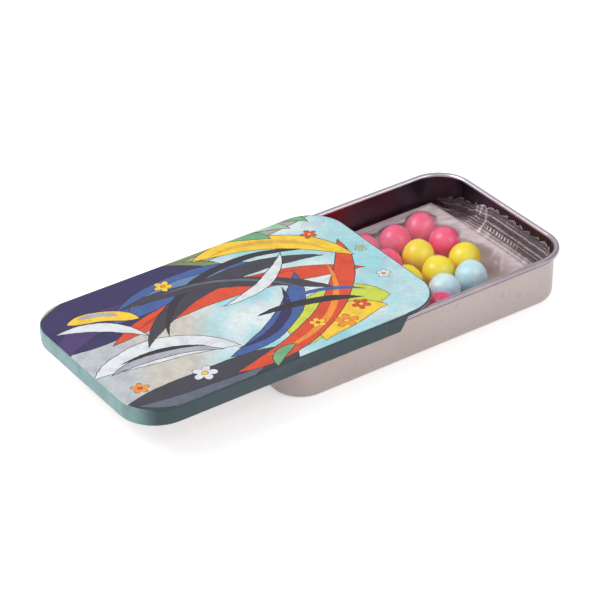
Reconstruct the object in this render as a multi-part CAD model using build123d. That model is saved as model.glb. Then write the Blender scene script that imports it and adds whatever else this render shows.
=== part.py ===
# A slide-lid pocket tin: a drawn tray with a curled rim, a printed lid whose rolled rails run under
# that rim, and a film sachet of round sweets lying in the tray. Millimetres, +Z up. The origin is the
# centre of the tray's underside, +X points to the end that the open lid uncovers.
import os
from math import acos, atan2, ceil, copysign, cos, degrees, pi, radians, sin, sqrt

from build123d import *

# Lid
lid_length = 79.4
lid_width = 50.0
lid_corner_radius = 9.5
lid_sheet = 0.2
lid_bend_radius = 0.5        # outside radius between the top and the skirt
skirt_height = 4.3
rail_curl = 1.4              # outside diameter of the rolled rail at the foot of the skirt
front_hem = 0.85             # height of the folded front edge
front_hem_return = 0.9       # how far the fold runs back under the top
skirt_slant = 2.3            # the skirt's front end leans back by this much
rail_front_room = 1.6        # the skirt starts this far behind the front corner's round

# Tray
tray_depth = 12.75
tray_sheet = 0.2
rim_curl = 1.4               # outside diameter of the curled rim
wall_draft = 0.35            # the wall leans out by this much over its height
foot_radius = 1.5            # outside radius round the floor
curl_turn = 285              # degrees through which both curls are rolled
bend_facet = 45              # degrees that each flat of a bend or curl may turn

# Running clearances between the lid and the tray
side_clearance = 0.2
end_clearance = 0.3
front_shortfall = 0.1        # the closed lid's front edge stops this far short of the rim's outside
hem_clearance = 0.1          # front hem over the rim
lid_open = 36.5              # how far the lid stands open at rest

# Sachet
film = 0.1
seal_width = 7.0
edge_height = 5.6            # where the upper and lower film meet
film_rise = 0.7              # the upper film lies this far above its edges where no sweet is
edge_slope = 2.0             # it gets there this far in from them
dome_angles = [16, 38, 60]   # where the film over a sweet bends, in degrees from its top
dome_corner_count = 8
dome_room = 0.25             # a dome's corners stand out by this much, so that its flats clear the sweet
end_room = 4.9               # from each seal line to the tray's end wall
side_room = 1.0              # from the sachet's side edge to the tray's wall
low_round = 4.2              # the lower film is rounded up to the sachet's edges by this much
low_flat_count = 4           # flats of that round
seal_edge_room = 0.4         # the seal ends this far inside the sachet's side edge
corner_room = 0.3            # the seal's corners stay this clear of the tray's rounded corners
seal_wall_gap = 0.6          # the folded-up seal stops this far short of the end wall
rib_pitch = 1.0
rib_depth = 0.18
tooth_pitch = 1.7            # the pinked end of each seal
tooth_depth = 0.8
seat_gap = 0.05              # small gap under whatever lies on something else

# Sweets
sweet_diameter = 7.3
sweet_edge_gap = 0.55        # least gap from a sweet to the sachet's edge
nest_depth = 0.7             # staggered rows may reach into each other by this much
sweet_stagger = 0.5          # every other sweet in a row lies this much nearer the front
sweet_corner_count = 56      # corners of the flat-faced ball that stands for a sweet
loose_share = 0.5            # the part of a row's slack that lies between its sweets

# Rows from the far side to the near side. The last ones are staggered against the row before.
row_counts = [7, 7, 7, 6, 4]
nested_row_count = 2
row_start_shares = [0.00, -0.06, 0.01, 0.44, 2.06]   # first place, in spacings from the row's start
row_slack_shares = [0.35, 0.18, 0.17, 0.07, 0.06]    # the part of the slack across before each row

# Sizes that follow
lid_height = tray_depth + hem_clearance + front_hem
rim_length = lid_length - lid_sheet - end_clearance + front_shortfall
rim_width = lid_width - 2 * (lid_sheet + side_clearance)
rim_corner_radius = lid_corner_radius - lid_sheet - side_clearance
bay_length = rim_length - 2 * (rim_curl + wall_draft)
bay_width = rim_width - 2 * (rim_curl + wall_draft)
bay_corner_radius = rim_corner_radius - rim_curl - wall_draft
seal_line_x = bay_length / 2 - end_room
sachet_half_width = bay_width / 2 - side_room
seal_half_width = sachet_half_width - seal_edge_room
sachet_floor = tray_sheet + seat_gap
sweet_radius = sweet_diameter / 2
sweet_height = sachet_floor + film + seat_gap + sweet_radius
film_height = edge_height + film_rise
dome_radius = sweet_radius + seat_gap + dome_room + film


def across_heading(heading, distance):
    """A step of that distance to the left of a heading in degrees."""
    return Vector(-sin(radians(heading)), cos(radians(heading))) * distance


def sheet_line(start, heading, steps, shift=0.0):
    """Points of a line that runs on from start: each step is a length and no turn, or a radius and a
    turn in degrees, left being positive. With a shift it is the line that lies so far to the left."""
    at = Vector(start)
    points = [at + across_heading(heading, shift)]
    for size, turn in steps:
        if turn == 0:
            at += across_heading(heading - 90, size)
            points.append(at + across_heading(heading, shift))
            continue
        to_centre = copysign(size, turn)
        centre = at + across_heading(heading, to_centre)
        flats = ceil(abs(turn) / bend_facet)
        for i in range(1, flats + 1):
            now = heading + turn * i / flats
            at = centre - across_heading(now, to_centre)
            points.append(at + across_heading(now, shift))
        heading += turn
    return points


def sheet_section(start, heading, steps, sheet):
    """The cut face of a bent sheet, whose other skin lies to the left, or to the right if negative."""
    outer = sheet_line(start, heading, steps)
    inner = sheet_line(start, heading, steps, sheet)
    return make_face(Polyline(*outer, *reversed(inner), close=True))


def formed_edge(section, path):
    """A section in outward and upward coordinates, carried along a path seen from above. The path
    runs with the object on its right."""
    forward = path % 0
    outward = Vector(-forward.Y, forward.X)
    return sweep(Plane(origin=path @ 0, x_dir=outward, z_dir=forward) * section, path=path)


def rounded_plate(length, width, radius, bottom, top):
    plate = extrude(RectangleRounded(length, width, radius), top - bottom)
    return Pos(0, 0, bottom) * plate


def make_tray():
    lean = degrees(atan2(wall_draft, tray_depth - foot_radius - rim_curl / 2))
    lean_sin, lean_cos = sin(radians(lean)), cos(radians(lean))
    curl_inside = rim_curl / 2 - tray_sheet
    wall_rise = tray_depth - rim_curl / 2 - foot_radius * (1 - lean_sin) + curl_inside * lean_sin
    wall = wall_rise / lean_cos
    reach = (foot_radius + curl_inside) * lean_cos + wall * lean_sin + rim_curl / 2
    section = sheet_section(
        start=(-reach, 0),
        heading=0,
        steps=[(foot_radius, 90 - lean), (wall, 0), (curl_inside, -curl_turn)],
        sheet=tray_sheet,
    )
    half_length, half_width = rim_length / 2, rim_width / 2
    rim = FilletPolyline(
        (half_length, -half_width),
        (-half_length, -half_width),
        (-half_length, half_width),
        (half_length, half_width),
        radius=rim_corner_radius,
        close=True,
    )
    floor = rounded_plate(
        rim_length - 2 * reach, rim_width - 2 * reach, rim_corner_radius - reach, 0, tray_sheet
    )
    return formed_edge(section, rim) + floor


def make_lid():
    skirt_foot = lid_height - skirt_height
    skirt_section = sheet_section(
        start=(-lid_bend_radius, lid_height),
        heading=0,
        steps=[
            (lid_bend_radius, -90),
            (skirt_height - lid_bend_radius - rail_curl / 2, 0),
            (rail_curl / 2, -curl_turn),
        ],
        sheet=-lid_sheet,
    )
    hem_section = sheet_section(
        start=(-lid_bend_radius, lid_height),
        heading=0,
        steps=[
            (lid_bend_radius - front_hem / 2, 0),
            (front_hem / 2, -180),
            (front_hem_return, 0),
        ],
        sheet=-lid_sheet,
    )
    back = -rim_length / 2 - end_clearance - lid_sheet
    front = back + lid_length
    side = lid_width / 2
    skirt_front = front - lid_corner_radius - rail_front_room
    round_back = FilletPolyline(
        (skirt_front, -side), (back, -side), (back, side), (skirt_front, side), radius=lid_corner_radius
    )
    round_front = FilletPolyline(
        (skirt_front, side), (front, side), (front, -side), (skirt_front, -side), radius=lid_corner_radius
    )
    slant = make_face(
        Polyline(
            (skirt_front, lid_height - front_hem),
            (skirt_front - skirt_slant, skirt_foot),
            (skirt_front, skirt_foot),
            close=True,
        )
    )
    slant_cut = extrude(Plane.XZ * slant, lid_width / 2, both=True)
    skirt = formed_edge(skirt_section, round_back) - slant_cut
    top = Pos((front + back) / 2, 0, 0) * rounded_plate(
        lid_length - 2 * lid_bend_radius,
        lid_width - 2 * lid_bend_radius,
        lid_corner_radius - lid_bend_radius,
        lid_height - lid_sheet,
        lid_height,
    )
    return Pos(-lid_open, 0, 0) * (top + skirt + formed_edge(hem_section, round_front))


def dome(radius):
    """The film over one sweet, round its middle: a cap in flats, with a straight foot."""
    rings = [(radius * sin(radians(angle)), radius * cos(radians(angle))) for angle in dome_angles]
    rings.append((rings[-1][0], 0))
    turns = [2 * pi * i / dome_corner_count for i in range(dome_corner_count)]
    return ConvexPolyhedron([(r * cos(turn), r * sin(turn), z) for r, z in rings for turn in turns])


def pillow(inset):
    """The sachet drawn in by inset: rounded up to its edges, with a dome over every sweet."""
    low = low_round - inset
    levels = []
    for i in range(low_flat_count + 1):
        angle = pi / 2 * i / low_flat_count
        levels.append((sachet_floor + inset + low * (1 - cos(angle)), low * (1 - sin(angle))))
    levels += [(edge_height - inset, 0), (film_height - inset, edge_slope)]
    corners = []
    for height, drawn_in in levels:
        x, y = seal_line_x - inset - drawn_in, sachet_half_width - inset - drawn_in
        corners += [(x, y, height), (x, -y, height), (-x, y, height), (-x, -y, height)]
    cap = dome(dome_radius - inset)
    return ConvexPolyhedron(corners) + [Pos(*place) * cap for place in sweet_places()]


def make_seal():
    """The crimped and pinked strip at the open end: ribbed, and folded up against the end wall."""
    room = end_room - seal_wall_gap
    rise = degrees(acos(min(1, room / seal_width)))
    half_ribs = 2 * int(seal_width / rib_pitch)
    step = seal_width / half_ribs
    wave = [(i * step, rib_depth / 2 * (-1) ** i) for i in range(half_ribs + 1)]
    under = [(-2 * film, -film)] + [(s, n - film) for s, n in wave]
    over = [(-2 * film, film)] + [(s, n + film) for s, n in wave]
    ribbed = make_face(Polyline(*under, *reversed(over), close=True))
    strip = extrude(Plane.XZ * ribbed, seal_half_width, both=True)
    half_teeth = 2 * int(2 * seal_half_width / tooth_pitch)
    across = [seal_half_width * (2 * i / half_teeth - 1) for i in range(half_teeth + 1)]
    pinked = [(seal_width - tooth_depth * (i % 2), y) for i, y in enumerate(across)]
    inner_end = -4 * film
    trim = make_face(
        Polyline((inner_end, -seal_half_width), *pinked, (inner_end, seal_half_width), close=True)
    )
    strip = strip & extrude(trim, seal_width, both=True)
    return Pos(seal_line_x, 0, edge_height) * Rot(0, -rise, 0) * strip


def make_sachet():
    seal = make_seal()
    shell = pillow(0) - pillow(film) + seal + mirror(seal, about=Plane.YZ)
    inset = 2 * corner_room
    return shell & rounded_plate(
        bay_length - inset, bay_width - inset, bay_corner_radius - corner_room, 0, tray_depth
    )


def ball_points(radius, count):
    """Corners spread evenly over a ball, turn by turn from its top to its foot."""
    golden = pi * (3 - sqrt(5))
    points = []
    for i in range(count):
        height = 1 - (2 * i + 1) / count
        ring = sqrt(1 - height * height)
        points.append((radius * ring * cos(golden * i), radius * ring * sin(golden * i), radius * height))
    return points


def sweet_places():
    edge_room = sweet_radius + sweet_edge_gap
    nested_count = [0] * (len(row_counts) - nested_row_count) + [1] * nested_row_count
    row_steps = [0] + [sweet_diameter - nest_depth * nested for nested in nested_count[1:]]
    gap_count = row_counts[0] - 1
    slack_along = 2 * (seal_line_x - edge_room) - gap_count * sweet_diameter
    slack_across = 2 * (sachet_half_width - edge_room) - sum(row_steps)
    spacing = sweet_diameter + slack_along * loose_share / gap_count
    start = seal_line_x - edge_room - slack_along * (1 - loose_share) / 2
    y = sachet_half_width - edge_room
    places = []
    for count, first, step, share in zip(row_counts, row_start_shares, row_steps, row_slack_shares):
        y -= step + share * slack_across
        for i in range(count):
            side = sweet_stagger * (-1) ** i
            places.append((start - (first + i) * spacing, y + side, sweet_height))
    return places


parts = {"tray": make_tray(), "lid": make_lid(), "sachet": make_sachet()}
sweet = ConvexPolyhedron(ball_points(sweet_radius, sweet_corner_count))
for number, place in enumerate(sweet_places(), start=1):
    parts[f"sweet_{number:02d}"] = Pos(*place) * sweet

os.makedirs("parts", exist_ok=True)
for name, shape in parts.items():
    export_step(shape, f"parts/{name}.step")
    print(name, "solids", len(shape.solids()), "volume", round(shape.volume, 3))
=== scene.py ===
import math

import bmesh
import bpy
from mathutils import Matrix, Vector, noise


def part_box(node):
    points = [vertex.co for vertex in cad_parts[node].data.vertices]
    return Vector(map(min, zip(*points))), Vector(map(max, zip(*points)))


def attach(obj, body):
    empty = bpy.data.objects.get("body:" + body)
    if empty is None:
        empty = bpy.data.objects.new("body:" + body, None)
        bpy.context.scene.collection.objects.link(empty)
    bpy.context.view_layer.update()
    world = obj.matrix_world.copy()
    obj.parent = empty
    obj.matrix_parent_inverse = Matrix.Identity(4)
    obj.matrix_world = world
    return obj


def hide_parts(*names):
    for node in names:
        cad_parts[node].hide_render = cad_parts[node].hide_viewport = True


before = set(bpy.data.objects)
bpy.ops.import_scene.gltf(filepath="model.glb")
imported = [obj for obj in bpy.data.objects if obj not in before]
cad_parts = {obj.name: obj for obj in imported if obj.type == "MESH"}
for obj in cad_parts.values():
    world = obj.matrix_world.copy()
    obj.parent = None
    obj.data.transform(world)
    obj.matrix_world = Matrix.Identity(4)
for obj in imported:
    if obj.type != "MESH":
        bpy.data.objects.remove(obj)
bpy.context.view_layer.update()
mm = 0.001
up = Vector((0, 0, 1))
scene = bpy.context.scene


# camera: the view that the photograph has
cameraView = {
    "target": (-16.453, 5.381, 5.0),
    "distance": 601.7,
    "yaw": -0.5794,
    "pitch": 0.5646,
    "roll": -0.0349,
    "lens": 158.75,
    "sensorWidth": 36,
    "nearest": 0.01,
    "farthest": 20,
}


def placeCamera(view):
    yaw, pitch, roll = view["yaw"], view["pitch"], view["roll"]
    level = math.cos(pitch)
    back = Vector((math.sin(yaw) * level, -math.cos(yaw) * level, math.sin(pitch)))
    right = Vector((math.cos(yaw), math.sin(yaw), 0))
    axes = Matrix((right, back.cross(right), back)).transposed()
    turned = axes @ Matrix.Rotation(roll, 3, "Z")
    data = bpy.data.cameras.new("photoCamera")
    data.lens = view["lens"]
    data.sensor_width = view["sensorWidth"]
    data.clip_start = view["nearest"]
    data.clip_end = view["farthest"]
    camera = bpy.data.objects.new("photoCamera", data)
    place = (Vector(view["target"]) + back * view["distance"]) * mm
    camera.matrix_world = Matrix.Translation(place) @ turned.to_4x4()
    scene.collection.objects.link(camera)
    scene.camera = camera


placeCamera(cameraView)
print("camera in place")


# number helpers for shapes that follow a formula
def limited(value, low=0.0, high=1.0):
    return min(high, max(low, value))


def rise(value, start, full):
    # 0 at the start and 1 where it is full
    return limited((value - start) / (full - start))


def bell(distance, width):
    # 1 in the middle, falling away smoothly on both sides
    return math.exp(-(distance / width) ** 2)


def wander(x, y, seed):
    # a smooth unevenness between about -1 and 1
    return noise.noise(Vector((x, y, seed)))


# shader helpers: short ways to add nodes, groups and materials
cloudSpan = (0.3, 0.7)  # the values that most of a noise lies between


def feed(tree, made, inputs):
    # an input is linked where it is given another node's socket, and set where it isn't
    for socket, value in inputs.items():
        if isinstance(value, bpy.types.NodeSocket):
            tree.links.new(value, made.inputs[socket])
        else:
            made.inputs[socket].default_value = value
    return made.outputs


def addNode(tree, kind, inputs=None, **settings):
    made = tree.nodes.new("ShaderNode" + kind)
    for name, value in settings.items():
        setattr(made, name, value)
    return feed(tree, made, inputs or {})


def calc(tree, operation, *values):
    return addNode(tree, "Math", dict(enumerate(values)), operation=operation)[0]


def vectorCalc(tree, operation, *values):
    made = addNode(tree, "VectorMath", dict(enumerate(values)), operation=operation)
    return made["Value" if operation == "LENGTH" else "Vector"]


def mixColors(tree, share, first, second, blend="MIX"):
    # a Mix node set to colour takes its colours at sockets 6 and 7 and gives one at 2
    inputs = {0: share, 6: first, 7: second}
    return addNode(tree, "Mix", inputs, data_type="RGBA", blend_type=blend)[2]


def ramp(tree, value, low, high, start=0.0, end=1.0, soft=True):
    inputs = dict(enumerate((value, low, high, start, end)))
    kind = "SMOOTHSTEP" if soft else "LINEAR"
    return addNode(tree, "MapRange", inputs, interpolation_type=kind)[0]


def noiseOf(tree, vector, scale, detail=2.0, roughness=0.5, colored=False):
    inputs = {"Vector": vector, "Scale": scale, "Detail": detail, "Roughness": roughness}
    return addNode(tree, "TexNoise", inputs)[1 if colored else 0]


def axesOf(tree, vector):
    return addNode(tree, "SeparateXYZ", {0: vector})


def objectMillimetres(tree, shift=(0, 0, 0)):
    spot = addNode(tree, "TexCoord")["Object"]
    inputs = {"Vector": spot, "Location": shift, "Scale": (1 / mm, 1 / mm, 1 / mm)}
    return addNode(tree, "Mapping", inputs)[0]


def newGroup(name, inputs, outputs):
    # the sockets are written as the names of each kind, and every use sets them all
    tree = bpy.data.node_groups.new(name, "ShaderNodeTree")
    for way, sockets in (("INPUT", inputs), ("OUTPUT", outputs)):
        for kind, names in sockets.items():
            for socket in names.split():
                tree.interface.new_socket(socket, in_out=way, socket_type="NodeSocket" + kind)
    given, result = tree.nodes.new("NodeGroupInput"), tree.nodes.new("NodeGroupOutput")
    return tree, given.outputs, result.inputs


def useGroup(tree, group, inputs):
    made = tree.nodes.new("ShaderNodeGroup")
    made.node_tree = group
    return feed(tree, made, inputs)


def newMaterial(name, settings):
    material = bpy.data.materials.new(name)
    material.use_nodes = True
    shader = material.node_tree.nodes["Principled BSDF"]
    for socket, value in settings.items():
        shader.inputs[socket].default_value = value
    return material, material.node_tree, shader.inputs


def ink(red, green, blue):
    # a screen colour from 0 to 255 as the linear colour that a socket takes
    parts = []
    for value in (red, green, blue):
        share = value / 255
        parts.append(share / 12.92 if share <= 0.04045 else ((share + 0.055) / 1.055) ** 2.4)
    return (*parts, 1)


def cloudOf(tree, point, scale, detail=3.0, strength=1.0):
    return ramp(tree, noiseOf(tree, point, scale, detail), *cloudSpan, 0.0, strength)


def mixInks(tree, share, inks):
    first, second = inks
    return mixColors(tree, share, ink(*first), ink(*second))


def cloudyTone(tree, point, tone):
    # a cloudy tone is its noise's scale and detail, and the inks between which it goes
    scale, detail, *inks = tone
    return mixInks(tree, cloudOf(tree, point, scale, detail), inks)


def addBump(tree, sockets, height, strength):
    bump = addNode(tree, "Bump", {"Height": height, "Distance": mm, "Strength": strength})
    tree.links.new(bump[0], sockets["Normal"])


# rolled sheet: fine waves and rub marks that every bare or coated tin surface shares
rolledMarks = {
    "waveScale": 0.09,
    "grainScale": 6.0,
    "grainStretch": (0.25, 1.0, 1.0),
    "rubScale": 0.5,
    "rubSpan": (0.35, 0.7),
}


def makeRolledSheet(marks):
    tree, given, result = newGroup("rolledSheet", {"Vector": "Point", "Float": "Wave Grain"},
                                   {"Float": "Height Mask"})
    stretched = vectorCalc(tree, "MULTIPLY", given["Point"], marks["grainStretch"])
    wave = noiseOf(tree, given["Point"], marks["waveScale"], 1.0)
    grain = noiseOf(tree, stretched, marks["grainScale"], 3.0, 0.6)
    rub = noiseOf(tree, given["Point"], marks["rubScale"], 4.0, 0.65)
    height = calc(tree, "ADD", calc(tree, "MULTIPLY", wave, given["Wave"]),
                  calc(tree, "MULTIPLY", grain, given["Grain"]))
    tree.links.new(height, result["Height"])
    tree.links.new(ramp(tree, rub, *marks["rubSpan"]), result["Mask"])
    return tree


rolledSheet = makeRolledSheet(rolledMarks)


def addSheetFinish(tree, sockets, point, color, finish):
    # a finish is its wave, grain, bump, and the roughness of the plain and the rubbed places
    wave, grain, bump, roughness = finish
    sheet = useGroup(tree, rolledSheet, {"Point": point, "Wave": wave, "Grain": grain})
    tree.links.new(color, sockets["Base Color"])
    addBump(tree, sockets, sheet["Height"], bump)
    tree.links.new(ramp(tree, sheet["Mask"], 0, 1, *roughness), sockets["Roughness"])


# tin making: a bent section is drawn, then carried along a rounded outline
faceSlot, edgeSlot = 0, 2  # the slots of a sheet's outsides, each followed by its inside's
joinWithin = 0.001  # points nearer than this, in millimetres, are one
quality = {"bendStep": 15, "cornerStep": 4.5}  # degrees to a step of a bend


def drawSection(bm, start, outward, heading, steps):
    # a step is a length and no turn, or a radius and the degrees to turn by
    old = set(bm.edges)
    vert = bmesh.ops.create_vert(bm, co=start)["vert"][0]
    for size, turn in steps:
        angle = math.radians(heading)
        ahead = outward * math.cos(angle) + up * math.sin(angle)
        left = up * math.cos(angle) - outward * math.sin(angle)
        if turn == 0:
            vert = bmesh.ops.extrude_vert_indiv(bm, verts=[vert])["verts"][0]
            bmesh.ops.translate(bm, verts=[vert], vec=ahead * size)
        else:
            centre = vert.co + left * math.copysign(size, turn)
            made = bmesh.ops.spin(bm, geom=[vert], cent=centre, axis=outward.cross(up),
                                  angle=math.radians(turn),
                                  steps=math.ceil(abs(turn) / quality["bendStep"]))
            vert = [item for item in made["geom_last"] if isinstance(item, bmesh.types.BMVert)][0]
            heading += turn
    return [edge for edge in bm.edges if edge not in old], vert.co.copy(), heading


def carrySection(bm, edges, start, forward, moves):
    # moves are written as steps are, and turn about the upright
    at, forward = Vector(start), Vector(forward)
    line = list(edges) + list({vert for edge in edges for vert in edge.verts})
    for size, turn in moves:
        if turn == 0:
            lineEdges = [item for item in line if isinstance(item, bmesh.types.BMEdge)]
            made = bmesh.ops.extrude_edge_only(bm, edges=lineEdges)["geom"]
            verts = {item for item in made if isinstance(item, bmesh.types.BMVert)}
            bmesh.ops.translate(bm, verts=list(verts), vec=forward * size)
            line = list(verts) + [item for item in made if isinstance(item, bmesh.types.BMEdge)
                                  and set(item.verts) <= verts]
            at += forward * size
        else:
            centre = at + up.cross(forward) * size
            line = bmesh.ops.spin(bm, geom=line, cent=centre, axis=up, angle=math.radians(turn),
                                  steps=math.ceil(abs(turn) / quality["cornerStep"]))["geom_last"]
            swing = Matrix.Rotation(math.radians(turn), 3, "Z")
            at = centre + swing @ (at - centre)
            forward = swing @ forward


def bendSheet(bm, outline, offset, height, runs):
    # each run is a list of steps and the material slot that its faces take
    start, forward, moves = outline
    outward = Vector(forward).cross(up)
    at, heading = Vector(start) + outward * offset + up * height, 0
    for steps, slot in runs:
        old = set(bm.faces)
        edges, at, heading = drawSection(bm, at, outward, heading, steps)
        carrySection(bm, edges, start, forward, moves)
        for face in bm.faces:
            if face not in old:
                face.material_index = slot


def fillLevel(bm, height, halfWidth, ring):
    # closes the flat opening at that height, with a narrow ring that keeps its shading level
    rim = [edge for edge in bm.edges if edge.is_boundary and all(
        abs(vert.co.z - height) < joinWithin and abs(vert.co.y) < halfWidth + joinWithin
        for vert in edge.verts)]
    plate = bmesh.ops.contextual_create(bm, geom=rim)["faces"]
    for face in plate:
        face.material_index = faceSlot
    bmesh.ops.inset_region(bm, faces=plate, thickness=ring, use_even_offset=True)


def faceOutwards(bm, facing):
    # an open sheet has no inside to go by, so its largest face shows which way is out
    bmesh.ops.recalc_face_normals(bm, faces=bm.faces[:])
    largest = max(bm.faces, key=lambda face: face.calc_area())
    if largest.normal.z * facing < 0:
        bmesh.ops.reverse_faces(bm, faces=bm.faces[:])


def finishPiece(bm, name, materials, body, stands, thickness=0.0):
    bmesh.ops.scale(bm, verts=bm.verts[:], vec=(mm, mm, mm))
    mesh = bpy.data.meshes.new(name)
    bm.to_mesh(mesh)
    bm.free()
    for material in materials:
        mesh.materials.append(material)
    for face in mesh.polygons:
        face.use_smooth = True
    piece = bpy.data.objects.new(name, mesh)
    scene.collection.objects.link(piece)
    if thickness:
        solid = piece.modifiers.new("sheetThickness", "SOLIDIFY")
        solid.thickness = thickness * mm
        solid.offset = -1
        solid.use_even_offset = True
        solid.material_offset = 1
        solid.material_offset_rim = 1
    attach(piece, body)
    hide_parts(*stands)


# tray: drawn floor and wall, with the rim curled outwards
tray = {
    "length": 79.0,
    "width": 49.2,
    "cornerRadius": 9.1,
    "depth": 12.75,
    "sheet": 0.2,
    "rimCurl": 1.4,
    "wallDraft": 0.35,
    "footRadius": 1.5,
    "curlTurn": 285,
    "flatRing": 0.8,
    "coatTone": (0.05, 2.0, (183, 169, 164), (188, 175, 172)),
    "coatFinish": (0.6, 0.012, 0.6, (0.36, 0.44)),
    "markInk": (165, 155, 153),
    "markWarp": (5.0, 5.0, 3.0),
    "markWarpScale": 0.22,
    "markCells": 0.2,
    "markCellSpan": (0.66, 0.4),
    "markRings": 14.0,
    "markRingSpan": (-0.3, 0.9),
    "markPatches": 0.12,
    "markPatchSpan": (0.35, 0.6, 0.0, 0.4),
    # the inside wall's dark tone is painted shade
    "wallShadeTone": (0.08, 2.0, (66, 50, 62), (84, 68, 78)),
    "trayInsideFinish": (0.8, 0.006, 0.5, (0.34, 0.42)),
    "wallStarts": (0.4, 2.2),
    "floorInk": (192, 174, 168),
    # a painted reflection of the pink sweets on the far inside wall
    "reflectedRedInk": (128, 30, 52),
    "reflectedRedAlong": (12.0, 2.0),
    "reflectedRedAcross": (18.0, 22.0),
    # painted light on the rim: a lit top, a shaded outer side and painted shade under the curl
    "rimLitTone": (0.15, 3.0, (200, 190, 202), (214, 204, 214)),
    "rimShadedTone": (0.15, 3.0, (164, 150, 158), (176, 163, 170)),
    "rimShadedStarts": (0.45, 0.25),  # shares of the curl, in from its outer edge
    "rimUnderShadeInk": (84, 68, 76),
    "rimUnderShadeStarts": (0.06, 0.22),  # below the curl's middle
    "rimFinish": (0.1, 0.0, 0.1, (0.28, 0.36)),
}


def makeTrayOutside(size):
    # a satin coat with faint curled marks in patches
    material, tree, sockets = newMaterial("satinTin", {"Metallic": 0.55})
    point = objectMillimetres(tree)
    warp = noiseOf(tree, point, size["markWarpScale"], colored=True)
    bent = vectorCalc(tree, "ADD", point, vectorCalc(tree, "MULTIPLY", warp, size["markWarp"]))
    distance = addNode(tree, "TexVoronoi", {"Vector": bent, "Scale": size["markCells"]})["Distance"]
    rings = calc(tree, "SINE", calc(tree, "MULTIPLY", distance, size["markRings"]))
    scrolls = calc(tree, "MULTIPLY", ramp(tree, rings, *size["markRingSpan"]),
                   ramp(tree, distance, *size["markCellSpan"]))
    patches = ramp(tree, noiseOf(tree, point, size["markPatches"], 1.0), *size["markPatchSpan"])
    marks = calc(tree, "MULTIPLY", scrolls, patches)
    coat = cloudyTone(tree, point, size["coatTone"])
    color = mixColors(tree, marks, coat, ink(*size["markInk"]))
    addSheetFinish(tree, sockets, point, color, size["coatFinish"])
    return material


def makeTrayInside(size):
    # painted shade inside: the wall is painted dark and metallic, the floor lighter and barer;
    # the red tint on the far wall is a painted reflection of the sweets
    material, tree, sockets = newMaterial("paintedShadeInside", {})
    point = objectMillimetres(tree)
    along, across, height = axesOf(tree, point)
    wall = ramp(tree, height, *size["wallStarts"])
    tree.links.new(ramp(tree, wall, 0, 1, 0.2, 1.0), sockets["Metallic"])
    # painted shade: the wall's dark tone
    wallShade = cloudyTone(tree, point, size["wallShadeTone"])
    # painted reflection of the sweets on the far wall
    red = calc(tree, "MULTIPLY", ramp(tree, along, *size["reflectedRedAlong"]),
               ramp(tree, across, *size["reflectedRedAcross"]))
    wallShade = mixColors(tree, red, wallShade, ink(*size["reflectedRedInk"]))
    color = mixColors(tree, wall, ink(*size["floorInk"]), wallShade)
    addSheetFinish(tree, sockets, point, color, size["trayInsideFinish"])
    return material


def makeRimMetal(size):
    # painted light: the curl's top is painted lighter as lit, its outer side darker as shaded,
    # and it is painted dark as shade where it turns in under itself
    material, tree, sockets = newMaterial("curledRim", {"Metallic": 1.0})
    point = objectMillimetres(tree)
    radius, curl = size["cornerRadius"], size["rimCurl"]
    core = (size["length"] / 2 - radius, size["width"] / 2 - radius, 0)
    flat = vectorCalc(tree, "ABSOLUTE", vectorCalc(tree, "MULTIPLY", point, (1, 1, 0)))
    past = vectorCalc(tree, "MAXIMUM", vectorCalc(tree, "SUBTRACT", flat, core), (0, 0, 0))
    inward = calc(tree, "SUBTRACT", radius, vectorCalc(tree, "LENGTH", past))
    # painted light: a lit tone for the top and a shaded one for the outer side
    top, side = (cloudyTone(tree, point, size[key]) for key in ("rimLitTone", "rimShadedTone"))
    shadedShare = ramp(tree, inward, *(curl * share for share in size["rimShadedStarts"]))
    middle = size["depth"] - curl / 2
    # painted shade where the curl turns in under itself
    underShade = ramp(tree, axesOf(tree, point)[2], *(middle - drop for drop in size["rimUnderShadeStarts"]))
    color = mixColors(tree, shadedShare, top, side)
    color = mixColors(tree, underShade, color, ink(*size["rimUnderShadeInk"]))
    addSheetFinish(tree, sockets, point, color, size["rimFinish"])
    return material


def makeTray(size):
    radius, foot, curlOutside = size["cornerRadius"], size["footRadius"], size["rimCurl"] / 2
    lean = math.degrees(math.atan2(size["wallDraft"], size["depth"] - foot - curlOutside))
    leanSin, leanCos = math.sin(math.radians(lean)), math.cos(math.radians(lean))
    curl = curlOutside - size["sheet"]
    wall = (size["depth"] - curlOutside - foot * (1 - leanSin) + curl * leanSin) / leanCos
    reach = (foot + curl) * leanCos + wall * leanSin + curlOutside
    corner, across = (radius, 90), (size["width"] - 2 * radius, 0)
    along, halfAlong = (size["length"] - 2 * radius, 0), (size["length"] / 2 - radius, 0)
    moves = [halfAlong, corner, across, corner, along, corner, across, corner, halfAlong]
    bm = bmesh.new()
    bendSheet(bm, ((0, -size["width"] / 2, 0), (1, 0, 0), moves), -reach, 0, [
        ([(foot, 90 - lean), (wall, 0)], faceSlot),
        ([(curl, -size["curlTurn"])], edgeSlot),
    ])
    bmesh.ops.remove_doubles(bm, verts=bm.verts[:], dist=joinWithin)
    fillLevel(bm, 0, size["width"] / 2 - reach, size["flatRing"])
    faceOutwards(bm, -1)
    rim = makeRimMetal(size)
    materials = [makeTrayOutside(size), makeTrayInside(size), rim, rim]
    finishPiece(bm, "drawnTray", materials, "tray", ["tray"], size["sheet"])


makeTray(tray)
print("tray done")


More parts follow.
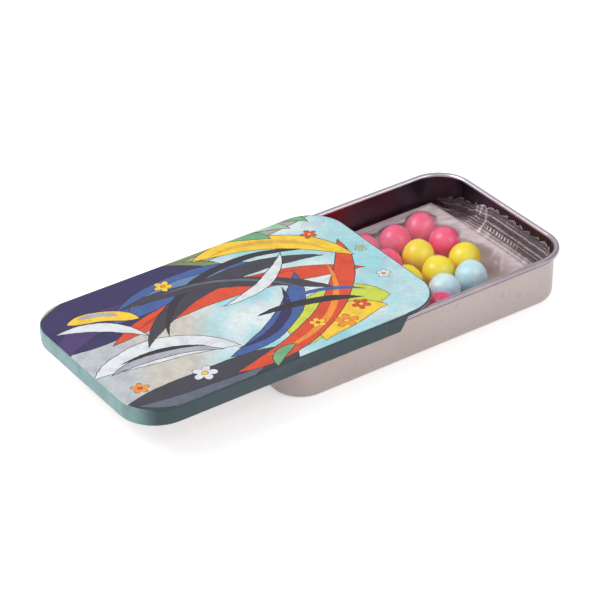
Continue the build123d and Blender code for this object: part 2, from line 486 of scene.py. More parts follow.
# lid: a flat printed panel with a skirt whose foot is rolled under the tray's rim
lid = {
    "length": 79.4,
    "backPlace": -40.0,
    "width": 50.0,
    "cornerRadius": 9.5,
    "height": 13.7,
    "sheet": 0.2,
    "bendRadius": 0.5,
    "printTurn": 35,
    "skirtHeight": 4.3,
    "railCurl": 1.4,
    "curlTurn": 285,
    "frontHem": 0.85,
    "hemReturn": 0.9,
    "skirtSlant": 2.3,
    "railFrontRoom": 1.6,
    "flatRing": 0.5,
    "standsOpen": 36.5,
    # painted light: the dark ink is the shaded sides, the pale one the lit back end
    "enamelShadedAndLitInks": ((50, 70, 78), (128, 164, 165)),
    "enamelLitTurns": (-35.0, -40.0),
    "shadeInk": (48, 66, 74),
    "shadeCloud": 0.3,
    "shadeStrength": 0.25,
    "enamelFinish": (0.4, 0.01, 0.4, (0.38, 0.46)),
    # a pale grey painted as a highlight along the front hem
    "edgeHighlightInk": (122, 130, 134),
    "edgeHighlightStarts": (31.0, 33.0),
    "edgeHighlightDepths": (0.18, 0.3),  # below the lid's top
    "insideTone": (0.1, 3.0, (190, 182, 178), (208, 200, 197)),
    "insideFinish": (0.6, 0.012, 0.6, (0.28, 0.38)),
}


def makeSkirtEnamel(size):
    # teal with painted light: darker along the shaded sides and paler at the lit back end, with
    # a pale grey painted as a highlight along the front hem
    material, tree, sockets = newMaterial("tealEnamel", {"Specular IOR Level": 0.4})
    point = objectMillimetres(tree, (size["standsOpen"], 0, 0))
    along, _, height = axesOf(tree, point)
    # painted light: darker on the shaded sides, paler at the lit back end
    color = mixInks(tree, ramp(tree, along, *size["enamelLitTurns"]), size["enamelShadedAndLitInks"])
    cloud = cloudOf(tree, point, size["shadeCloud"], strength=size["shadeStrength"])
    color = mixColors(tree, cloud, color, ink(*size["shadeInk"]))
    # painted highlight: pale grey along the front hem, below the lid's top
    highlightHeights = (size["height"] - depth for depth in size["edgeHighlightDepths"])
    edgeHighlight = calc(tree, "MULTIPLY", ramp(tree, along, *size["edgeHighlightStarts"]),
                ramp(tree, height, *highlightHeights))
    color = mixColors(tree, edgeHighlight, color, ink(*size["edgeHighlightInk"]))
    addSheetFinish(tree, sockets, point, color, size["enamelFinish"])
    return material


def makeLidInside(size):
    material, tree, sockets = newMaterial("lidInside", {"Metallic": 1.0})
    point = objectMillimetres(tree)
    color = cloudyTone(tree, point, size["insideTone"])
    addSheetFinish(tree, sockets, point, color, size["insideFinish"])
    return material


def makeLid(size, printed):
    side, back, front = size["width"] / 2, size["backPlace"], size["backPlace"] + size["length"]
    radius, bend, height = size["cornerRadius"], size["bendRadius"], size["height"]
    skirtFront = front - radius - size["railFrontRoom"]
    corner, toCorner = (radius, 90), (skirtFront - back - radius, 0)
    across, frontRoom = (size["width"] - 2 * radius, 0), (size["railFrontRoom"], 0)
    backMoves = [toCorner, corner, across, corner, toCorner]
    frontMoves = [frontRoom, corner, across, corner, frontRoom]
    rail, hem, turn = size["railCurl"] / 2, size["frontHem"] / 2, size["printTurn"]
    bm = bmesh.new()
    bendSheet(bm, ((skirtFront, side, 0), (-1, 0, 0), backMoves), -bend, height, [
        ([(bend, -turn)], faceSlot),
        ([(bend, turn - 90), (size["skirtHeight"] - bend - rail, 0),
          (rail, -size["curlTurn"])], edgeSlot),
    ])
    # the skirt's front end is cut off at a slant
    slantTop = Vector((skirtFront, 0, height - size["frontHem"]))
    slantFoot = Vector((skirtFront - size["skirtSlant"], 0, height - size["skirtHeight"]))
    bmesh.ops.bisect_plane(bm, geom=bm.verts[:] + bm.edges[:] + bm.faces[:], dist=0.0001,
                           plane_co=slantTop, clear_outer=True,
                           plane_no=(slantTop - slantFoot).cross(Vector((0, 1, 0))) * -1)
    bendSheet(bm, ((skirtFront, -side, 0), (1, 0, 0), frontMoves), -bend, height, [
        ([(bend - hem, 0)], faceSlot),
        ([(hem, -180), (size["hemReturn"], 0)], edgeSlot),
    ])
    bmesh.ops.remove_doubles(bm, verts=bm.verts[:], dist=joinWithin)
    fillLevel(bm, height, side - bend, size["flatRing"])
    faceOutwards(bm, 1)
    bmesh.ops.translate(bm, verts=bm.verts[:], vec=(-size["standsOpen"], 0, 0))
    inside = makeLidInside(size)
    materials = [printed, inside, makeSkirtEnamel(size), inside]
    finishPiece(bm, "printedLid", materials, "lid", ["lid"], size["sheet"])


# lid print: inked ribbons, leaves and blossoms over a washed sky, drawn stroke by stroke
lidPrint = {
    "finish": (0.4, 0.01, 0.4, (0.34, 0.42)),
    "line": (44, 34, 44),
    "lineWidth": 0.2,
    "plainWidth": 0.85,  # strokes up to this half width have no line round them
    "drifts": ((0.09, 1.1), (0.9, 0.35)),  # noise scale, and how far it moves the drawing
    "skyInks": ((158, 216, 224), (228, 238, 238)),
    "skyNoise": (0.07, 4.0, 0.55),
    "skySpan": (0.38, 0.62),
    "frontInk": (154, 214, 222),
    "frontSpan": (26.0, 38.0, 0.0, 0.6),
    # the slanted grounds at the back: where each one starts and is full, and its ink
    "groundSlant": -0.5,
    "grounds": (((-4.0, -14.0), (206, 202, 190)), ((-22.0, -30.0), (190, 196, 200))),
    # a wash is its noise's stretch, scale, detail and roughness, its span, and its ink and blend
    "skyWash": (None, 0.13, 3.0, 0.6, (0.55, 0.75, 0.0, 0.5), (186, 226, 196), "MIX"),
    "overWashes": (
        ((0.5, 1.6, 1.0), 1.6, 3.0, 0.6, (0.3, 0.7, 0.0, 0.2), (120, 116, 130), "MULTIPLY"),
        (None, 0.28, 2.0, 0.5, (0.42, 0.66, 0.0, 0.3), (196, 186, 206), "MULTIPLY"),
        (None, 5.0, 2.0, 0.6, (0.35, 0.7, 0.0, 0.035), (255, 250, 244), "MIX"),
    ),
    "inks": {
        "navy": (47, 38, 92), "violet": (72, 50, 112), "cobalt": (62, 96, 160),
        "steel": (96, 134, 176), "charcoal": (60, 58, 72), "soot": (42, 38, 50),
        "slate": (98, 104, 120), "scarlet": (222, 74, 38), "rust": (186, 54, 34),
        "amber": (244, 148, 44), "gold": (250, 208, 52), "straw": (232, 182, 60),
        "lime": (206, 218, 74), "moss": (132, 150, 92), "leaf": (116, 176, 128),
        "mint": (168, 212, 178), "chalk": (226, 232, 234), "mist": (176, 178, 188),
        "sand": (226, 212, 184), "stone": (178, 172, 158),
    },
    # ink, from, to, bow to the left, half width, how blunt the ends are
    "strokes": [
        ("stone", (-44, 23), (44, 27), -1.5, 3.4, 8), ("moss", (-30, 25), (16, 26), 1, 3.0, 6),
        ("sand", (-36, 18), (6, 19), 2, 4.5, 4), ("moss", (-18, 21), (8, 15), 3, 3.2, 3),
        ("lime", (4, -22), (30, -16), 6, 7.0, 3), ("gold", (8, -23), (27, -19), 4, 4.2, 2),
        ("navy", (-46, 6), (8, 8), 9, 10.5, 3), ("violet", (-44, 2), (-12, 12), 6, 3.2, 2),
        ("cobalt", (-26, 10), (14, 12), 4, 4.4, 3), ("steel", (-20, 13), (8, 14), 2, 1.7, 2),
        ("charcoal", (-44, -20), (2, -20), -5, 8.2, 3),
        ("slate", (-38, -20), (-8, -23), -3, 2.2, 2),
        ("chalk", (-40, -6), (-8, -13), 5, 4.4, 2), ("mist", (-36, -7), (-12, -12), 3.5, 1.5, 2),
        ("soot", (-33, -4.5), (-14, -9), 2, 0.7, 2),
        ("scarlet", (-30, 3), (32, -3), 7, 3.0, 4), ("rust", (-24, 4), (20, 4), 5.5, 0.7, 2),
        ("cobalt", (-12, -16), (18, 4), -5, 2.6, 3), ("navy", (-8, -14), (12, 0), -4.5, 1.0, 2),
        ("scarlet", (-14, -22), (34, 10), -9, 2.7, 4), ("amber", (-6, -20), (26, 4), -8, 0.8, 2),
        ("charcoal", (-24, -2), (27, 7), 9, 2.3, 3), ("soot", (-18, 0), (28, 10), 11, 0.9, 3),
        ("charcoal", (-22, 14), (22, -7), 7, 1.7, 3), ("slate", (-12, 14), (17, -4), 5.5, 0.45, 2),
        ("gold", (2, 22), (33, 3), 7, 2.9, 3), ("straw", (5, 21), (30, 7), 6, 0.8, 2),
        ("soot", (2, -6), (24, -13), 2, 1.0, 3), ("cobalt", (10, -4), (27, -11), 2, 0.7, 3),
        ("chalk", (-2, 2), (20, 13), -3, 1.5, 2), ("chalk", (-38, 14), (-22, 2), 3, 1.6, 2),
        ("gold", (-34, 16), (-20, 9), 2, 1.9, 4), ("mist", (-31, 16.5), (-23, 12.5), 1, 0.8, 4),
        ("leaf", (12, 25), (22, 20), 2, 1.8, 2), ("mint", (18, 25), (28, 21), 2, 1.5, 2),
        ("leaf", (26, 25), (33, 21), 2, 1.4, 2), ("leaf", (-6, -25), (2, -20), 1.5, 1.4, 2),
    ],
    # ink, ink of the heart, place, size, turn in degrees
    "blossoms": [
        ("amber", "gold", (16, -19), 2.6, 10), ("scarlet", "gold", (22.5, -15.5), 2.0, 45),
        ("gold", "scarlet", (10.5, -16), 1.9, 70), ("chalk", "gold", (-20, -18), 2.8, 20),
        ("amber", "scarlet", (-34, -14.5), 1.9, 5), ("gold", "amber", (-9, 17), 2.2, 30),
        ("scarlet", "gold", (30, 16), 1.8, 60), ("chalk", "amber", (34, -8), 1.6, 15),
        ("mint", "gold", (36, 4), 1.3, 50),
    ],
}


printEdge = (0.04, -0.04)  # where an ink starts and is full, out from its shape in millimetres


def makeInkStroke():
    # one inked arc, widest at its middle, with a thin dark line round it
    tree, given, result = newGroup("inkStroke", {
        "Color": "Under Ink Line", "Vector": "Point Centre",
        "Float": "Radius Width Middle Span Ends Outline"}, {"Color": "Color"})
    away = vectorCalc(tree, "SUBTRACT", given["Point"], given["Centre"])
    along, across, _ = axesOf(tree, away)
    turn = calc(tree, "SUBTRACT", calc(tree, "ARCTAN2", across, along), given["Middle"])
    turn = calc(tree, "WRAP", turn, math.pi, -math.pi)
    share = calc(tree, "ABSOLUTE", calc(tree, "DIVIDE", turn, given["Span"]))
    fullness = calc(tree, "SUBTRACT", 1.0, calc(tree, "POWER", share, given["Ends"]))
    distance = vectorCalc(tree, "LENGTH", away)
    off = calc(tree, "ABSOLUTE", calc(tree, "SUBTRACT", distance, given["Radius"]))
    edge = calc(tree, "SUBTRACT", off, calc(tree, "MULTIPLY", given["Width"], fullness))
    lineEdge = calc(tree, "SUBTRACT", edge, given["Outline"])
    inner, outer = (ramp(tree, item, *printEdge, soft=False) for item in (edge, lineEdge))
    lined = mixColors(tree, outer, given["Under"], given["Line"])
    tree.links.new(mixColors(tree, inner, lined, given["Ink"]), result["Color"])
    return tree


def makeBlossom():
    # a flower of five round petals with a heart of another ink
    tree, given, result = newGroup("blossom", {
        "Color": "Under Ink Heart Line", "Vector": "Point Centre",
        "Float": "Size Turn"}, {"Color": "Color"})
    away = vectorCalc(tree, "SUBTRACT", given["Point"], given["Centre"])
    along, across, _ = axesOf(tree, away)
    distance = vectorCalc(tree, "LENGTH", away)
    turn = calc(tree, "ADD", calc(tree, "ARCTAN2", across, along), given["Turn"])
    wave = calc(tree, "ABSOLUTE", calc(tree, "COSINE", calc(tree, "MULTIPLY", turn, 2.5)))
    petal = calc(tree, "MULTIPLY_ADD", calc(tree, "POWER", wave, 0.7), 0.6, 0.4)
    edge = calc(tree, "SUBTRACT", distance, calc(tree, "MULTIPLY", petal, given["Size"]))
    heart = calc(tree, "SUBTRACT", distance, calc(tree, "MULTIPLY", given["Size"], 0.24))
    color = given["Under"]
    for bound, span, tone in ((edge, (0.2, 0.12), "Line"), (edge, printEdge, "Ink"),
                              (heart, (0.16, 0.08), "Line"), (heart, printEdge, "Heart")):
        color = mixColors(tree, ramp(tree, bound, *span, soft=False), color, given[tone])
    tree.links.new(color, result["Color"])
    return tree


def arcBetween(start, end, bow):
    # the circle through both points whose arc stands off the chord by bow, to its left
    start, end = Vector(start), Vector(end)
    chord = end - start
    half, side = chord.length / 2, math.copysign(1, bow)
    radius = (half * half + bow * bow) / (2 * abs(bow))
    left = Vector((-chord.y, chord.x)).normalized() * side
    centre = (start + end) / 2 - left * (radius - abs(bow))
    span = math.atan2(half, radius - abs(bow))
    return (*centre, 0), radius, math.atan2(left.y, left.x), span


def drawStrokes(tree, color, point, settings):
    stroke, blossom = makeInkStroke(), makeBlossom()
    inks = settings["inks"]
    line = ink(*settings["line"])
    for name, start, end, bow, width, ends in settings["strokes"]:
        centre, radius, middle, span = arcBetween(start, end, bow)
        color = useGroup(tree, stroke, {
            "Under": color, "Point": point, "Centre": centre, "Radius": radius, "Width": width,
            "Middle": middle, "Span": span, "Ends": ends, "Ink": ink(*inks[name]), "Line": line,
            "Outline": settings["lineWidth"] if width > settings["plainWidth"] else 0.0})["Color"]
    for name, heart, centre, size, turn in settings["blossoms"]:
        color = useGroup(tree, blossom, {
            "Under": color, "Point": point, "Centre": (*centre, 0), "Size": size,
            "Turn": math.radians(turn), "Ink": ink(*inks[name]), "Heart": ink(*inks[heart]),
            "Line": line})["Color"]
    return color


def addWash(tree, color, flat, wash):
    stretch, scale, detail, roughness, span, tone, blend = wash
    where = vectorCalc(tree, "MULTIPLY", flat, stretch) if stretch else flat
    share = ramp(tree, noiseOf(tree, where, scale, detail, roughness), *span)
    return mixColors(tree, share, color, ink(*tone), blend)


def makeLidPrint(size, settings):
    material, tree, sockets = newMaterial("lidPrint", {
        "Specular IOR Level": 0.3, "Coat Weight": 0.08, "Coat Roughness": 0.2})
    solid = objectMillimetres(tree, (size["standsOpen"], 0, 0))
    flat = vectorCalc(tree, "MULTIPLY", solid, (1, 1, 0))
    point = flat
    for scale, amount in settings["drifts"]:
        drift = vectorCalc(tree, "SUBTRACT", noiseOf(tree, flat, scale, colored=True),
                           (0.5, 0.5, 0.5))
        drift = vectorCalc(tree, "MULTIPLY", drift, (amount, amount, 0))
        point = vectorCalc(tree, "ADD", point, drift)
    along, across, _ = axesOf(tree, point)
    sky = ramp(tree, noiseOf(tree, flat, *settings["skyNoise"]), *settings["skySpan"])
    color = mixInks(tree, sky, settings["skyInks"])
    color = addWash(tree, color, flat, settings["skyWash"])
    front = ramp(tree, along, *settings["frontSpan"])
    color = mixColors(tree, front, color, ink(*settings["frontInk"]))
    slant = calc(tree, "MULTIPLY", across, settings["groundSlant"])
    slanted = calc(tree, "ADD", along, slant)
    for span, tone in settings["grounds"]:
        color = mixColors(tree, ramp(tree, slanted, *span), color, ink(*tone))
    color = drawStrokes(tree, color, point, settings)
    for wash in settings["overWashes"]:
        color = addWash(tree, color, flat, wash)
    addSheetFinish(tree, sockets, solid, color, settings["finish"])
    return material


makeLid(lid, makeLidPrint(lid, lidPrint))
print("lid done")


# sweets: sugar-coated balls, each a little out of round
sweets = {
    "radius": 3.85,
    "lift": 0.2,
    "roundness": 0.04,
    "bulgeScale": 0.35,
    "bulgeMiddle": 0.35,
    "bulgeSteps": (3.1, 1.7),  # how far the bulges move on from one sweet to the next
    "shell": {"Coat Weight": 0.4, "Coat Roughness": 0.22,
              "Subsurface Weight": 0.9, "Subsurface Scale": 6.0 * mm},
    "cloudScale": 0.28,
    "dimples": (0.9, 7.0, 0.05),  # scales of the broad and the fine, and the share of the fine
    "bump": 0.08,
    "roughness": (0.42, 0.34),
    # node numbers, the two inks of the shell, and how far each of its colours lets light through
    "finish": {
        "pink": ((1, 2, 3, 7, 8, 10, 12, 19, 24, 28, 31),
                 ((252, 48, 104), (255, 96, 146)), (1.0, 0.15, 0.25)),
        "yellow": ((4, 6, 9, 13, 15, 16, 17, 21, 25, 29),
                   ((255, 212, 14), (255, 228, 66)), (1.0, 0.6, 0.1)),
        "blue": ((5, 11, 14, 18, 20, 22, 23, 26, 27, 30),
                 ((186, 225, 244), (213, 238, 250)), (0.6, 0.8, 1.0)),
    },
}


def makeCandyShell(name, inks, through, settings):
    material, tree, sockets = newMaterial(name + "Candy", {
        **settings["shell"], "Subsurface Radius": through})
    point = objectMillimetres(tree)
    cloud = cloudOf(tree, point, settings["cloudScale"])
    tree.links.new(mixInks(tree, cloud, inks), sockets["Base Color"])
    broad, fine, share = settings["dimples"]
    height = calc(tree, "ADD", noiseOf(tree, point, broad),
                  calc(tree, "MULTIPLY", noiseOf(tree, point, fine), share))
    addBump(tree, sockets, height, settings["bump"])
    tree.links.new(ramp(tree, cloud, 0, 1, *settings["roughness"]), sockets["Roughness"])
    return material


def sweetPlace(node):
    low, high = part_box(node)
    return (low + high) / 2 / mm + up * sweets["lift"]


def makeSweets(settings):
    stepX, stepY = settings["bulgeSteps"]
    for color, (numbers, inks, through) in settings["finish"].items():
        material = makeCandyShell(color, inks, through, settings)
        for number in numbers:
            node = f"sweet_{number:02d}"
            bm = bmesh.new()
            ball = bmesh.ops.create_icosphere(bm, subdivisions=5,
                                              radius=settings["radius"])["verts"]
            shift = Vector((number * stepX, number * stepY, 0))
            for vert in ball:
                bulge = noise.noise(vert.co * settings["bulgeScale"] + shift)
                vert.co *= 1 + (bulge - settings["bulgeMiddle"]) * settings["roundness"]
            bmesh.ops.translate(bm, verts=ball, vec=sweetPlace(node))
            name = f"{color}Sweet{number:02d}"
            finishPiece(bm, name, [material], "tray", [node])


makeSweets(sweets)
print("sweets done")


# sachet: one closed bag of clear film, stretched over the sweets, with a crimped seal at each end
sachet = {
    "halfLength": 32.85,
    "halfWidth": 21.85,
    "floor": 0.3,
    "lowRound": 4.2,
    "edgeHeight": 5.6,
    "sealBow": 0.5,
    "filmRise": 0.6,
    "edgeSlope": 2.0,
    "cell": 0.55,
    "smoothing": 0.8,
    "sag": 0.004,
    "rounds": 90,
    "filmGap": 0.06,
    "wrinkle": 0.22,
    "wrinkleReach": 4.5,
    "wrinklePace": 2.3,
    "wrinkleSway": 2.5,
    "looseWrinkle": 0.6,
    "heldEdge": 0.01,
}

# its seals, one at each end: lengths in millimetres along and across the seal
seal = {
    "width": 7.0,
    "halfAcross": 21.4,
    "ribPitch": 0.78,
    "ribHeight": 0.1,
    "ribStart": 0.5,
    "rowsToRib": 8,
    "toothPitch": 2.9,
    "toothDepth": 0.8,
    "toothShare": 0.2,
    "tickPitch": 1.1,
    "tickHeight": 0.1,
    "tickPlace": 2.2,
    "tickReach": 0.35,
    "columnsToTick": 6,
    "buckle": 0.8,
    "bucklePitch": 4.1,
    "buckleSway": 2,
    "wallRoom": 4.3,
    "cornerStart": 15.5,
    "cornerRadius": 7.0,
    "foldAngle": 52,
    "foldWaves": (4, 0.9),  # degrees and pace
    "foldSway": (5, 0.5),
    "farAngle": -32,
    "farPower": 0.7,
    "farSpan": (1.5, 20.5),
    "outerReach": (-0.6, 0.95),
    "bendSpan": 1.2,
}

# how white the marks of a seal are, and where they lie: the places across are counted from
# the middle towards the far side at the open end, and the opposite way at the other
sealWhite = {
    "least": 0.04,
    "most": 0.9,
    "veil": 0.05,
    "rib": 0.62, "ribPower": 6, "ribLeast": 0.4, "ribUneven": 1.8,
    # the whiteness of the ticks and of the crumple is painted glints
    "tick": 1.2, "tickGlintMiddle": -3, "tickGlintSpan": 8,
    "crumpleGlint": 0.6, "crumpleGlintMiddle": 7.5, "crumpleGlintWidth": 2.2, "crumpleGlintStart": 0.45,
    "crumpleGlintPace": 5.2,
    "crease": 0.45, "creaseMiddle": 3.2, "creaseLean": 0.35, "creaseWidth": 0.4,
    "edge": 0.45, "edgePower": 8,
    "pressed": 0.22, "pressedWidth": 0.28, "pressedPlaces": (0.5, 1.2, 3.4, 4.9),
    "milk": 0.36, "milkReach": 1.2, "milkSpan": (7, 1),
    "fade": 0.85, "fadeSpan": (9, 13),
}

# how white the bag itself is: at its seals and sides, off the sweets, along its sharp folds and
# at painted glints
bagWhite = {
    "most": 0.66,
    "band": 0.8,
    "bandWidth": 3.2,
    "bandMore": ((-5, -15, 1.2), (-1, 3, 0.7)),  # from, to, and how much wider it gets there
    "side": 0.3,
    "sideWidth": 2.2,
    "haze": 0.13, "hazeSpan": (2, 10),
    "veilLeast": 0.02, "veilMore": 0.5, "veilSpan": (0, 1.6),
    "looseSpan": (-0.3, 0.1),
    "endsSpan": (-4, 6),
    "farWay": (0.547, 0.837),  # the way from the photograph's side over the floor
    "farShoulder": 0.53,  # how near the film comes loose on that side, as a share
    "foldWidth": 0.32,
    "foldEnds": 0.4,
    # from, to, how white: the first three are painted glints, the others whiten the edges of folds
    "folds": (
        ((29.9, 10.5), (28.9, 9.1), 0.7),
        ((29.7, 1.0), (28.6, -1.0), 0.7),
        ((28.0, -9.3), (27.3, -10.9), 0.5),
        ((32.2, -5.0), (27.0, -8.6), 0.22),
        ((31.3, -8.0), (25.6, -14.8), 0.28),
        ((27.0, -13.0), (31.5, -19.0), 0.22),
    ),
}


def sealLineHeight(size, y):
    share = 1 - (y / size["halfWidth"]) ** 2
    return size["edgeHeight"] + size["sealBow"] * max(0, share)


def filmGrid(bm, size):
    along, across = size["halfLength"], size["halfWidth"]
    made = bmesh.ops.create_grid(bm, x_segments=round(2 * along / size["cell"]),
                                 y_segments=round(2 * across / size["cell"]), size=1)["verts"]
    bmesh.ops.scale(bm, verts=made, vec=(along, across, 1))
    return made


def edgeRoom(size, vert):
    # how far a point of the film is from the seal and from the side
    return size["halfLength"] - abs(vert.co.x), size["halfWidth"] - abs(vert.co.y)


def topFilm(bm, size, places):
    # the upper film: smoothed as a skin would be, but never below the sweets
    made = filmGrid(bm, size)
    reach = sweets["radius"] + size["filmGap"]
    loose, rests = [], []
    for vert in made:
        x, y = vert.co.x, vert.co.y
        toSeal, toSide = edgeRoom(size, vert)
        slope = min(1, toSeal / size["edgeSlope"], toSide / size["edgeSlope"])
        rest = size["edgeHeight"] + size["filmRise"] * slope
        for place in places:
            gap = reach * reach - (x - place.x) ** 2 - (y - place.y) ** 2
            if gap > 0:
                rest = max(rest, place.z + math.sqrt(gap))
        edge = sealLineHeight(size, y) if toSeal < toSide else size["edgeHeight"]
        vert.co.z = max(edge, rest)
        if min(toSeal, toSide) > size["heldEdge"]:
            loose.append(vert)
            rests.append(rest)
    for _ in range(size["rounds"]):
        bmesh.ops.smooth_vert(bm, verts=loose, factor=size["smoothing"], use_axis_z=True)
        for vert, rest in zip(loose, rests):
            vert.co.z = max(vert.co.z - size["sag"], rest)
    for vert, rest in zip(loose, rests):
        x, y = vert.co.x, vert.co.y
        toSeal, toSide = edgeRoom(size, vert)
        inside = min(1, toSeal, toSide)
        near = math.exp(-toSeal / size["wrinkleReach"]) * inside
        sway = size["wrinkleSway"] * wander(x * 0.15, y * 0.2, 4)
        folds = math.sin(y * size["wrinklePace"] + sway)
        loosely = wander(x * 0.35, y * 0.5, 9) * inside
        lift = size["wrinkle"] * (folds * near + size["looseWrinkle"] * loosely)
        vert.co.z = max(vert.co.z + lift, rest)
    return made


def lowFilm(bm, size):
    # the lower film lies on the floor and is rounded up to the sachet's edges
    made, low = filmGrid(bm, size), size["lowRound"]
    for vert in made:
        lean = max(0, low - min(edgeRoom(size, vert)))
        vert.co.z = size["floor"] + low - math.sqrt(max(0, low * low - lean * lean))
    faces = {face for vert in made for face in vert.link_faces}
    bmesh.ops.reverse_faces(bm, faces=list(faces))


def foldAngles(size, end, y):
    # how steep the seal's inner and outer halves stand: the outer one keeps clear of the wall
    far = rise(y * end, *size["farSpan"])
    inner = size["foldAngle"] + (size["farAngle"] - size["foldAngle"]) * far ** size["farPower"]
    (wave, wavePace), (sway, swayPace) = size["foldWaves"], size["foldSway"]
    inner += wave * math.sin(y * wavePace) + sway * wander(y * swayPace, end, 2)
    inner = math.radians(inner)
    half, radius = size["width"] / 2, size["cornerRadius"]
    corner = max(0, abs(y) - size["cornerStart"])
    room = size["wallRoom"] - radius + math.sqrt(max(0, radius ** 2 - corner ** 2))
    outer = (room - half * math.cos(inner)) / half
    return inner, math.acos(limited(outer, *size["outerReach"]))


def sealWhiteness(marks, end, y, run, share, endShare, crest, tick):
    across = y * end
    milk = marks["milk"] * bell(run, marks["milkReach"]) * rise(across, *marks["milkSpan"])
    pressed = sum(bell(run - place, marks["pressedWidth"]) for place in marks["pressedPlaces"])
    uneven = marks["ribLeast"] + marks["ribUneven"] * wander(y * 0.06, run * 0.9, 3)
    rib = max(0, crest) ** marks["ribPower"] * max(0, uneven)
    # painted glints on the ticks and on the crumpled far part
    tickGlints = max(0, 1 - ((across - marks["tickGlintMiddle"]) / marks["tickGlintSpan"]) ** 2)
    crumpleGlint = bell(across - marks["crumpleGlintMiddle"], marks["crumpleGlintWidth"])
    crumpleGlint *= max(0, share - marks["crumpleGlintStart"]) * (1 + math.sin(y * marks["crumpleGlintPace"]))
    crease = bell(across - marks["creaseMiddle"] - marks["creaseLean"] * run,
                  marks["creaseWidth"])
    white = (marks["veil"] + milk + marks["pressed"] * pressed + marks["rib"] * rib
             + marks["tick"] * max(0, tick) * tickGlints + marks["crumpleGlint"] * crumpleGlint
             + marks["crease"] * crease + marks["edge"] * endShare ** marks["edgePower"])
    shown = 1 - marks["fade"] * rise(across, *marks["fadeSpan"])
    return min(marks["most"], marks["least"] + white * shown)


def sealStrip(bm, bag, size, marks, end, white):
    # the seal starts level with its line and folds up twice to stay clear of the tray's wall
    length, half = size["width"], size["width"] / 2
    rows = round(length / size["ribPitch"] * size["rowsToRib"])
    columns = round(2 * size["halfAcross"] / size["tickPitch"] * size["columnsToTick"])
    made = bmesh.ops.create_grid(bm, x_segments=rows, y_segments=columns, size=1)["verts"]
    for vert in made:
        share, y = (vert.co.x + 1) / 2, vert.co.y * size["halfAcross"]
        tooth = abs((y / size["toothPitch"]) % 1 - 0.5) * 2
        endShare = max(0, share - (1 - size["toothShare"])) / size["toothShare"]
        run = share * length - size["toothDepth"] * tooth * endShare
        inner, outer = foldAngles(size, end, y)
        bent = limited((run - half) / size["bendSpan"] + 0.5)
        first, second = min(run, half), max(0, run - half)
        x = first * math.cos(inner) + second * math.cos(outer)
        z = first * math.sin(inner) + second * math.sin(outer)
        angle = inner + (outer - inner) * bent
        crest = math.sin(2 * math.pi * run / size["ribPitch"])
        tick = math.sin(2 * math.pi * y / size["tickPitch"])
        tick *= bell(run - size["tickPlace"], size["tickReach"])
        sway = size["buckleSway"] * wander(y * 0.2, end, 7)
        wave = (math.sin(2 * math.pi * y / size["bucklePitch"] + sway) - 1) / 2
        lift = (size["ribHeight"] * crest * min(1, run / size["ribStart"])
                + size["tickHeight"] * tick + size["buckle"] * share ** 2 * wave)
        vert.co = Vector((end * (bag["halfLength"] + x - lift * math.sin(angle)), y,
                          sealLineHeight(bag, y) + z + lift * math.cos(angle)))
        vert[white] = sealWhiteness(marks, end, y, run, share, endShare, crest, tick)


def shoulderDistance(marks, x, y):
    # how far a point is from a sweet, where the film comes loose nearer to it on its far side
    wayX, wayY = marks["farWay"]
    behind, aside = x * wayX + y * wayY, x * wayY - y * wayX
    return math.hypot(aside, behind / marks["farShoulder"] if behind > 0 else behind)


def foldAndGlintWhiteness(marks, x, y):
    # white lines along the listed folds; the first three are painted glints
    white = 0
    for (startX, startY), (endX, endY), strength in marks["folds"]:
        run = Vector((endX - startX, endY - startY))
        share = limited(Vector((x - startX, y - startY)).dot(run) / run.length_squared)
        away = math.hypot(x - startX - share * run.x, y - startY - share * run.y)
        middle = marks["foldEnds"] + (1 - marks["foldEnds"]) * math.sin(math.pi * share)
        white += strength * bell(away, marks["foldWidth"]) * middle
    return white


def bagWhiteness(marks, size, vert, places):
    x, y = vert.co.x, vert.co.y
    toSeal, toSide = edgeRoom(size, vert)
    wider = sum(more * rise(y, start, full) for start, full, more in marks["bandMore"])
    bandWidth = marks["bandWidth"] * (1 + wider)
    band = (marks["band"] * max(0, 1 - toSeal / bandWidth)
            + marks["side"] * max(0, 1 - toSide / marks["sideWidth"]))
    off = min(shoulderDistance(marks, x - place.x, y - place.y) for place in places)
    loose = rise(off - sweets["radius"], *marks["looseSpan"])
    pastEnd = (abs(x) - max(place.x for place in places)) * rise(y, *marks["endsSpan"])
    past = max(y - max(place.y for place in places), pastEnd)
    veil = loose * (marks["veilLeast"] + marks["veilMore"] * rise(past, *marks["veilSpan"]))
    haze = marks["haze"] * rise(y, *marks["hazeSpan"])
    return min(marks["most"], band + max(haze, veil) + foldAndGlintWhiteness(marks, x, y))


# the film's look: clear over the sweets, and whiter where it hangs loose, is crimped or is
# seen at a low angle
film = {
    "surface": {"Roughness": 0.14, "IOR": 1.5, "Specular IOR Level": 0.7},
    "inks": ((220, 196, 208), (244, 232, 232)),
    "bumpScale": 0.7,
    "bump": 0.1,
    "lowBlend": 0.12,
    "lowWhite": (0.02, 0.4),
    "streak": (0.18, 0.9, 0.5),
    "streakScale": 0.8,
    "streakWhite": (0.75, 1.2),
    "most": 0.95,
    "shade": 0.2,  # how much of its whiteness dims what lies under it
}


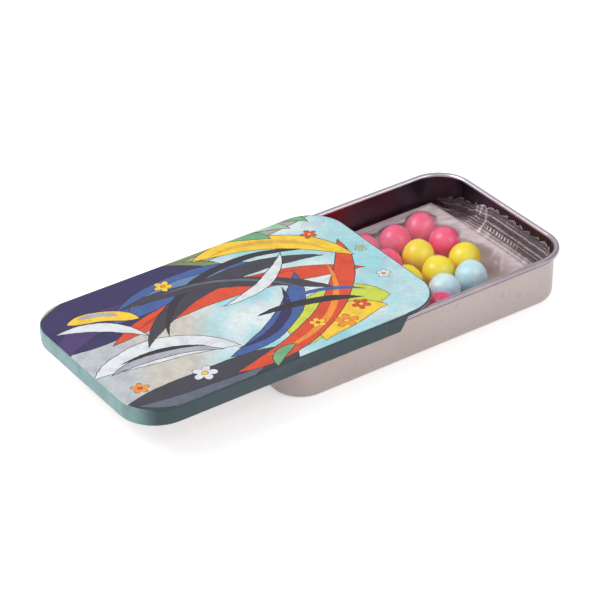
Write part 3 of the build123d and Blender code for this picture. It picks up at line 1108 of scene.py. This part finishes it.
def makeFilm(look):
    material, tree, sockets = newMaterial("clearFilm", look["surface"])
    point = objectMillimetres(tree)
    white = addNode(tree, "Attribute", attribute_name="white")["Fac"]
    tree.links.new(mixInks(tree, white, look["inks"]), sockets["Base Color"])
    addBump(tree, sockets, noiseOf(tree, point, look["bumpScale"]), look["bump"])
    low = addNode(tree, "LayerWeight", {"Blend": look["lowBlend"]})["Fresnel"]
    low = ramp(tree, low, 0, 1, *look["lowWhite"], soft=False)
    stretched = vectorCalc(tree, "MULTIPLY", point, look["streak"])
    streaks = noiseOf(tree, stretched, look["streakScale"], 3.0)
    uneven = calc(tree, "MULTIPLY", white, ramp(tree, streaks, *cloudSpan, *look["streakWhite"]))
    alpha = calc(tree, "MINIMUM", calc(tree, "ADD", uneven, low), look["most"])
    rays = addNode(tree, "LightPath")
    lighting = calc(tree, "MAXIMUM", rays["Is Shadow Ray"], rays["Is Diffuse Ray"])
    shade = ramp(tree, lighting, 0, 1, 1.0, look["shade"], soft=False)
    tree.links.new(calc(tree, "MULTIPLY", alpha, shade), sockets["Alpha"])
    return material


def makeSachet(size):
    bm = bmesh.new()
    white = bm.verts.layers.float.new("white")
    places = [sweetPlace(name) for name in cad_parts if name.startswith("sweet")]
    upper = topFilm(bm, size, places)
    lowFilm(bm, size)
    for vert in upper:
        vert[white] = bagWhiteness(bagWhite, size, vert, places)
    rims = [edge for edge in bm.edges if edge.is_boundary]
    bmesh.ops.bridge_loops(bm, edges=rims)
    bmesh.ops.recalc_face_normals(bm, faces=bm.faces[:])
    for end in (1, -1):
        sealStrip(bm, size, seal, sealWhite, end, white)
    finishPiece(bm, "filmSachet", [makeFilm(film)], "tray", ["sachet"])


makeSachet(sachet)
print("sachet done")


# floor and light: a white table under one broad window light and a plain sky
studio = {
    "floorSize": 3.0,
    "floorTone": (0.9, 0.9, 0.9, 1),
    "floorGlow": 0.45,
    "world": 0.62,
    "lamps": [
        # name, place, target, size, watts
        ("keyLight", (-0.35, 0.22, 0.5), (-0.01, 0, 0.01), 0.35, 2.2),
        ("frontFill", (0.2, -0.5, 0.45), (0, 0, 0.01), 0.4, 1.0),
    ],
}


def makeFloor(settings):
    bm = bmesh.new()
    bmesh.ops.create_grid(bm, x_segments=1, y_segments=1, size=settings["floorSize"] / 2)
    mesh = bpy.data.meshes.new("tableTop")
    bm.to_mesh(mesh)
    bm.free()
    floor = bpy.data.objects.new("tableTop", mesh)
    scene.collection.objects.link(floor)
    material, tree, sockets = newMaterial("tableWhite", {
        "Base Color": settings["floorTone"], "Roughness": 0.9,
        "Specular IOR Level": 0.0, "Emission Color": (1, 1, 1, 1)})
    rays = addNode(tree, "LightPath")
    seen = calc(tree, "MAXIMUM", rays["Is Camera Ray"], rays["Is Glossy Ray"])
    glow = calc(tree, "MULTIPLY", seen, settings["floorGlow"])
    tree.links.new(glow, sockets["Emission Strength"])
    mesh.materials.append(material)


def makeLights(settings):
    world = bpy.data.worlds.new("paleRoom")
    world.use_nodes = True
    scene.world = world
    tree = world.node_tree
    background = tree.nodes["Background"].inputs
    seen = addNode(tree, "LightPath")["Is Camera Ray"]
    strength = ramp(tree, seen, 0, 1, settings["world"], 1.0, soft=False)
    tree.links.new(strength, background["Strength"])
    background["Color"].default_value = (1, 1, 1, 1)
    for name, place, target, size, watts in settings["lamps"]:
        data = bpy.data.lights.new(name, "AREA")
        data.size = size
        data.energy = watts
        lamp = bpy.data.objects.new(name, data)
        lamp.location = place
        way = Vector(target) - Vector(place)
        lamp.rotation_euler = way.to_track_quat("-Z", "Y").to_euler()
        scene.collection.objects.link(lamp)


makeFloor(studio)
makeLights(studio)
scene.view_settings.view_transform = "Standard"
print("studio done")
